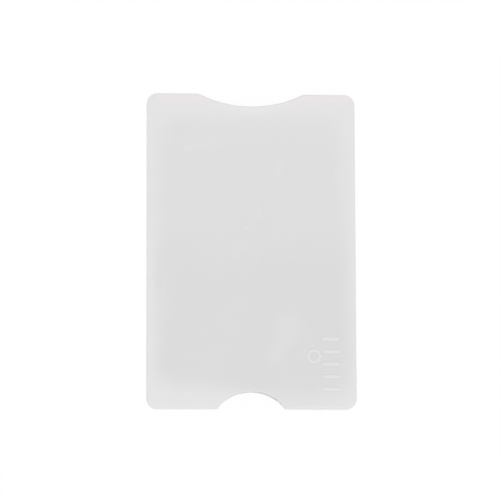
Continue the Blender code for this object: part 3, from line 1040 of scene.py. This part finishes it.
def foil_height(liner, side, x, y):
    """Height of the middle of the foil at a place, with its folds and crinkles."""
    place = Vector((x / MM * CRINKLE_WAVES, y / MM * CRINKLE_WAVES, side * CRINKLE_SLICE))
    crinkle = liner.crinkle * noise.fractal(place, 1, 2, CRINKLE_OCTAVES)
    return (FOIL_LOW.z + FOIL_HIGH.z) / 2 - MIDDLE + fold_rise(x, y) * FOLD_SHARE + crinkle


def foil_row(liner, side, step):
    """How far along and how far out from the middle a row of the foil lies, a little uneven at its cut."""
    share = 0.5 - 0.5 * math.cos(math.pi * step)
    share = (1 - EVEN_ROWS_SHARE) * share + EVEN_ROWS_SHARE * step
    y = FOIL_LOW.y + (FOIL_HIGH.y - FOIL_LOW.y) * share
    half = FOIL_HIGH.x + (liner.mouth_half - FOIL_HIGH.x) * share
    from_end = min(y - FOIL_LOW.y, FOIL_HIGH.y - y)
    if from_end < liner.corner:
        half -= liner.corner - math.sqrt(liner.corner ** 2 - (liner.corner - from_end) ** 2)
    half -= CUT_REACH * MM * (1 + noise.noise(Vector((y / MM * CUT_WAVES, side * CUT_SLICE, 0))))
    return y, half


def foil(name, side, node):
    """One shielding foil: a thin sheet with faint folds, a little uneven along its edges."""
    liner = bpy.context.scene.card_sleeve_liner
    lines = []
    for row in range(liner.rows + 1):
        y, half = foil_row(liner, side, row / liner.rows)
        places = [half * (2 * column / liner.columns - 1) for column in range(liner.columns + 1)]
        lines.append([(x, y, foil_height(liner, side, x, y)) for x in places])
    mesh = bmesh.new()
    edges = []
    for offset in (-liner.thickness / 2, liner.thickness / 2):
        grid = [[mesh.verts.new((x, y, height + offset)) for x, y, height in line] for line in lines]
        for near, far in zip(grid, grid[1:]):
            for index in range(liner.columns):
                mesh.faces.new((near[index], near[index + 1], far[index + 1], far[index]))
        edges.append(grid[0] + [line[-1] for line in grid[1:]] + grid[-1][-2::-1]
                     + [line[0] for line in grid[-2:0:-1]])
    join_loops(mesh, *edges)
    sheet = add_object(name, mesh, side)
    shade(sheet, kept(bpy.data.materials, aluminium_foil), FOIL_SHARP_ANGLE)
    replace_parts(sheet, node)
    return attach(sheet, "root")


# Operators


class CARD_OT_rear_half(bpy.types.Operator):
    """Make the rear half of the sleeve in milky plastic"""

    bl_idname = "card_sleeve.rear_half"
    bl_label = "Rear Half"

    def execute(self, context):
        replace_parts(half_shell("rear_half", -1), "rear_shell")
        return {"FINISHED"}


class CARD_OT_front_half(bpy.types.Operator):
    """Make the front half of the sleeve, with the raised grip mark on its face"""

    bl_idname = "card_sleeve.front_half"
    bl_label = "Front Half and Grip Mark"

    def execute(self, context):
        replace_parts(half_shell("front_half", 1, grip_strokes()), "front_shell")
        return {"FINISHED"}


class CARD_OT_weld_seam(bpy.types.Operator):
    """Make the welded seam between the two halves"""

    bl_idname = "card_sleeve.weld_seam"
    bl_label = "Weld Seam"

    def execute(self, context):
        weld_seam()
        return {"FINISHED"}


class CARD_OT_foils(bpy.types.Operator):
    """Make the shielding foil inside each half"""

    bl_idname = "card_sleeve.foils"
    bl_label = "Shielding Foils"

    def execute(self, context):
        foil("front_foil", 1, "front_shield")
        foil("rear_foil", -1, "rear_shield")
        return {"FINISHED"}


class CARD_OT_glue_films(bpy.types.Operator):
    """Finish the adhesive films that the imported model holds"""

    bl_idname = "card_sleeve.glue_films"
    bl_label = "Adhesive Films"

    def execute(self, context):
        for name in ("front_adhesive_film", "rear_adhesive_film"):
            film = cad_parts[name].data
            film.materials.clear()
            film.materials.append(kept(bpy.data.materials, transfer_glue))
        return {"FINISHED"}


class CARD_OT_stage(bpy.types.Operator):
    """Set the white ground, the soft light and the camera"""

    bl_idname = "card_sleeve.stage"
    bl_label = "Stage"

    def execute(self, context):
        scene = context.scene
        stage = scene.card_sleeve_stage
        scene.view_settings.view_transform = "Standard"
        self.set_ground(scene, stage)
        self.set_surroundings(scene, stage)
        lamp = adjusted(bpy.data.lights.new("soft_lamp", "SUN"), energy=stage.lamp, angle=stage.lamp_spread)
        lamp_turn = Vector(stage.lamp_from).to_track_quat("Z", "Y").to_euler()
        placed_in_scene("soft_lamp", lamp, rotation_euler=lamp_turn)
        lens = adjusted(bpy.data.cameras.new("camera"), lens=stage.lens, sensor_width=36.0,
                        clip_start=0.05, clip_end=50.0)
        scene.camera = placed_in_scene("camera", lens, location=stage.camera_place, rotation_mode="ZYX",
                                       rotation_euler=stage.camera_turn)
        return {"FINISHED"}

    def cleared(self, owner):
        """The empty node tree of a material or of the world."""
        owner.use_nodes = True
        owner.node_tree.nodes.clear()
        return Tree(owner.node_tree)

    def blended(self, tree, share, first, second):
        """Two shaders, one fading into the other by a share."""
        return tree.node("ShaderNodeMixShader", {0: share, 1: first, 2: second}).outputs[0]

    def seen_directly(self, tree):
        """1 for what the camera sees itself, in gloss or through a clear thing."""
        path = tree.node("ShaderNodeLightPath").outputs
        mirrored_or_clear = tree.plus(path["Is Glossy Ray"], path["Is Transmission Ray"])
        return tree.plus(path["Is Camera Ray"], mirrored_or_clear, clamp=True)

    def set_ground(self, scene, stage):
        """A wide pale table: seen white, with a share of its shadow, and lit as a plain pale surface."""
        half = stage.ground_size / 2
        mesh = bmesh.new()
        mesh.faces.new([mesh.verts.new((x, y, -MIDDLE - GROUND_GAP))
                        for x, y in ((-half, -half), (half, -half), (half, half), (-half, half))])
        ground = add_object("ground", mesh)
        material = bpy.data.materials.new("pale_ground")
        tree = self.cleared(material)
        plain, lit = [tree.node("ShaderNodeBsdfDiffuse", {"Color": shown}).outputs[0]
                      for shown in (rgba(scene.card_sleeve_finish.ground), WHITE)]
        white = tree.node("ShaderNodeEmission", {"Color": WHITE, "Strength": 1.0}).outputs[0]
        seen = self.blended(tree, stage.shadow_share, white, lit)
        both = self.blended(tree, self.seen_directly(tree), plain, seen)
        tree.node("ShaderNodeOutputMaterial", {"Surface": both})
        ground.data.materials.append(material)

    def set_surroundings(self, scene, stage):
        """A plain bright room that looks white behind the sleeve."""
        world = bpy.data.worlds.new("bright_room")
        tree = self.cleared(world)
        room, white = [tree.node("ShaderNodeBackground", {"Color": WHITE, "Strength": strength}).outputs[0]
                       for strength in (stage.surroundings, 1.0)]
        both = self.blended(tree, self.seen_directly(tree), room, white)
        tree.node("ShaderNodeOutputWorld", {"Surface": both})
        scene.world = world


OPERATORS = (CARD_OT_rear_half, CARD_OT_front_half, CARD_OT_weld_seam, CARD_OT_foils, CARD_OT_glue_films,
             CARD_OT_stage)
SETTINGS = {"card_sleeve": SleeveSettings, "card_sleeve_mark": GripMarkSettings,
            "card_sleeve_liner": LinerSettings, "card_sleeve_finish": FinishSettings,
            "card_sleeve_stage": StageSettings}


class CARD_PT_sleeve(bpy.types.Panel):
    """Lists the pieces of the sleeve and its stage"""

    bl_idname = "CARD_PT_sleeve"
    bl_label = "Card Sleeve"
    bl_space_type = "VIEW_3D"
    bl_region_type = "UI"
    bl_category = "Card Sleeve"

    def draw(self, context):
        for operator in OPERATORS:
            self.layout.operator(operator.bl_idname)
        for name in SETTINGS:
            box = self.layout.box()
            group = getattr(context.scene, name)
            for key in group.__annotations__:
                box.prop(group, key)


def register():
    for kind in (*SETTINGS.values(), *OPERATORS, CARD_PT_sleeve):
        bpy.utils.register_class(kind)
    for name, kind in SETTINGS.items():
        setattr(bpy.types.Scene, name, PointerProperty(type=kind))


def unregister():
    for name in SETTINGS:
        delattr(bpy.types.Scene, name)
    for kind in (CARD_PT_sleeve, *reversed(OPERATORS), *reversed(SETTINGS.values())):
        bpy.utils.unregister_class(kind)


def main():
    """Make every piece in order."""
    register()
    bpy.ops.card_sleeve.rear_half()
    bpy.ops.card_sleeve.front_half()
    bpy.ops.card_sleeve.weld_seam()
    bpy.ops.card_sleeve.foils()
    bpy.ops.card_sleeve.glue_films()
    bpy.ops.card_sleeve.stage()


if __name__ == "__main__":
    main()
